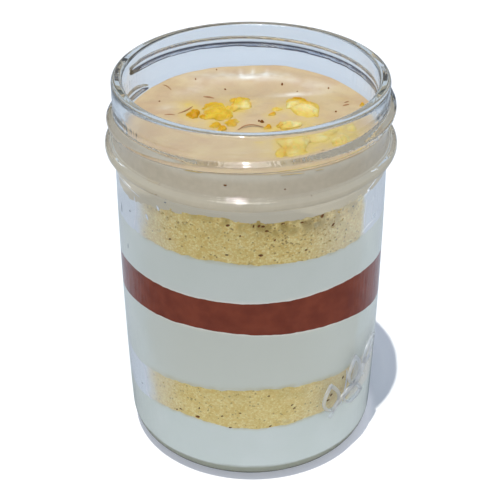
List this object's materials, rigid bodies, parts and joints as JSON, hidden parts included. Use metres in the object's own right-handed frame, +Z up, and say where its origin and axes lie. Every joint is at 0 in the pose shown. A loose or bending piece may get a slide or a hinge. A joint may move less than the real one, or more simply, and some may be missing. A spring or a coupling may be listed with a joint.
{
  "type": "smores jar",
  "caption": "Layered dessert of cream, crumbs, chocolate and mousse in a clear screw-neck jar, open at the top, with broken golden pieces scattered over it.",
  "frame": {"origin": "middle of the jar's underside, where it stands", "axes": "+Z up along the jar's axis, -Y the front, +X to the right"},
  "size_m": [0.0888, 0.0888, 0.1248],
  "materials": {
    "glass": "clear polished pressed glass",
    "cream": "smooth wet white cream",
    "crumb": "dry sandy biscuit crumbs with brown flecks",
    "chocolate": "soft satin chocolate",
    "mousse": "set mousse with a fine skin and dark flecks",
    "topping_gold": "golden, slightly translucent, satin",
    "topping_pale": "pale yellow, slightly translucent, satin"
  },
  "bodies": {
    "root": {"jar": "glass", "cream_bottom": "cream", "crumb_lower": "crumb", "cream_middle": "cream", "chocolate": "chocolate", "cream_upper": "cream", "crumb_upper": "crumb", "mousse": "mousse", "topping_gold": "topping_gold", "topping_pale": "topping_pale", "topping_orange": "topping_gold", "topping_right": "topping_pale", "topping_middle": "topping_pale", "topping_front": "topping_pale", "topping_edge": "topping_pale"}
  },
  "joints": []
}
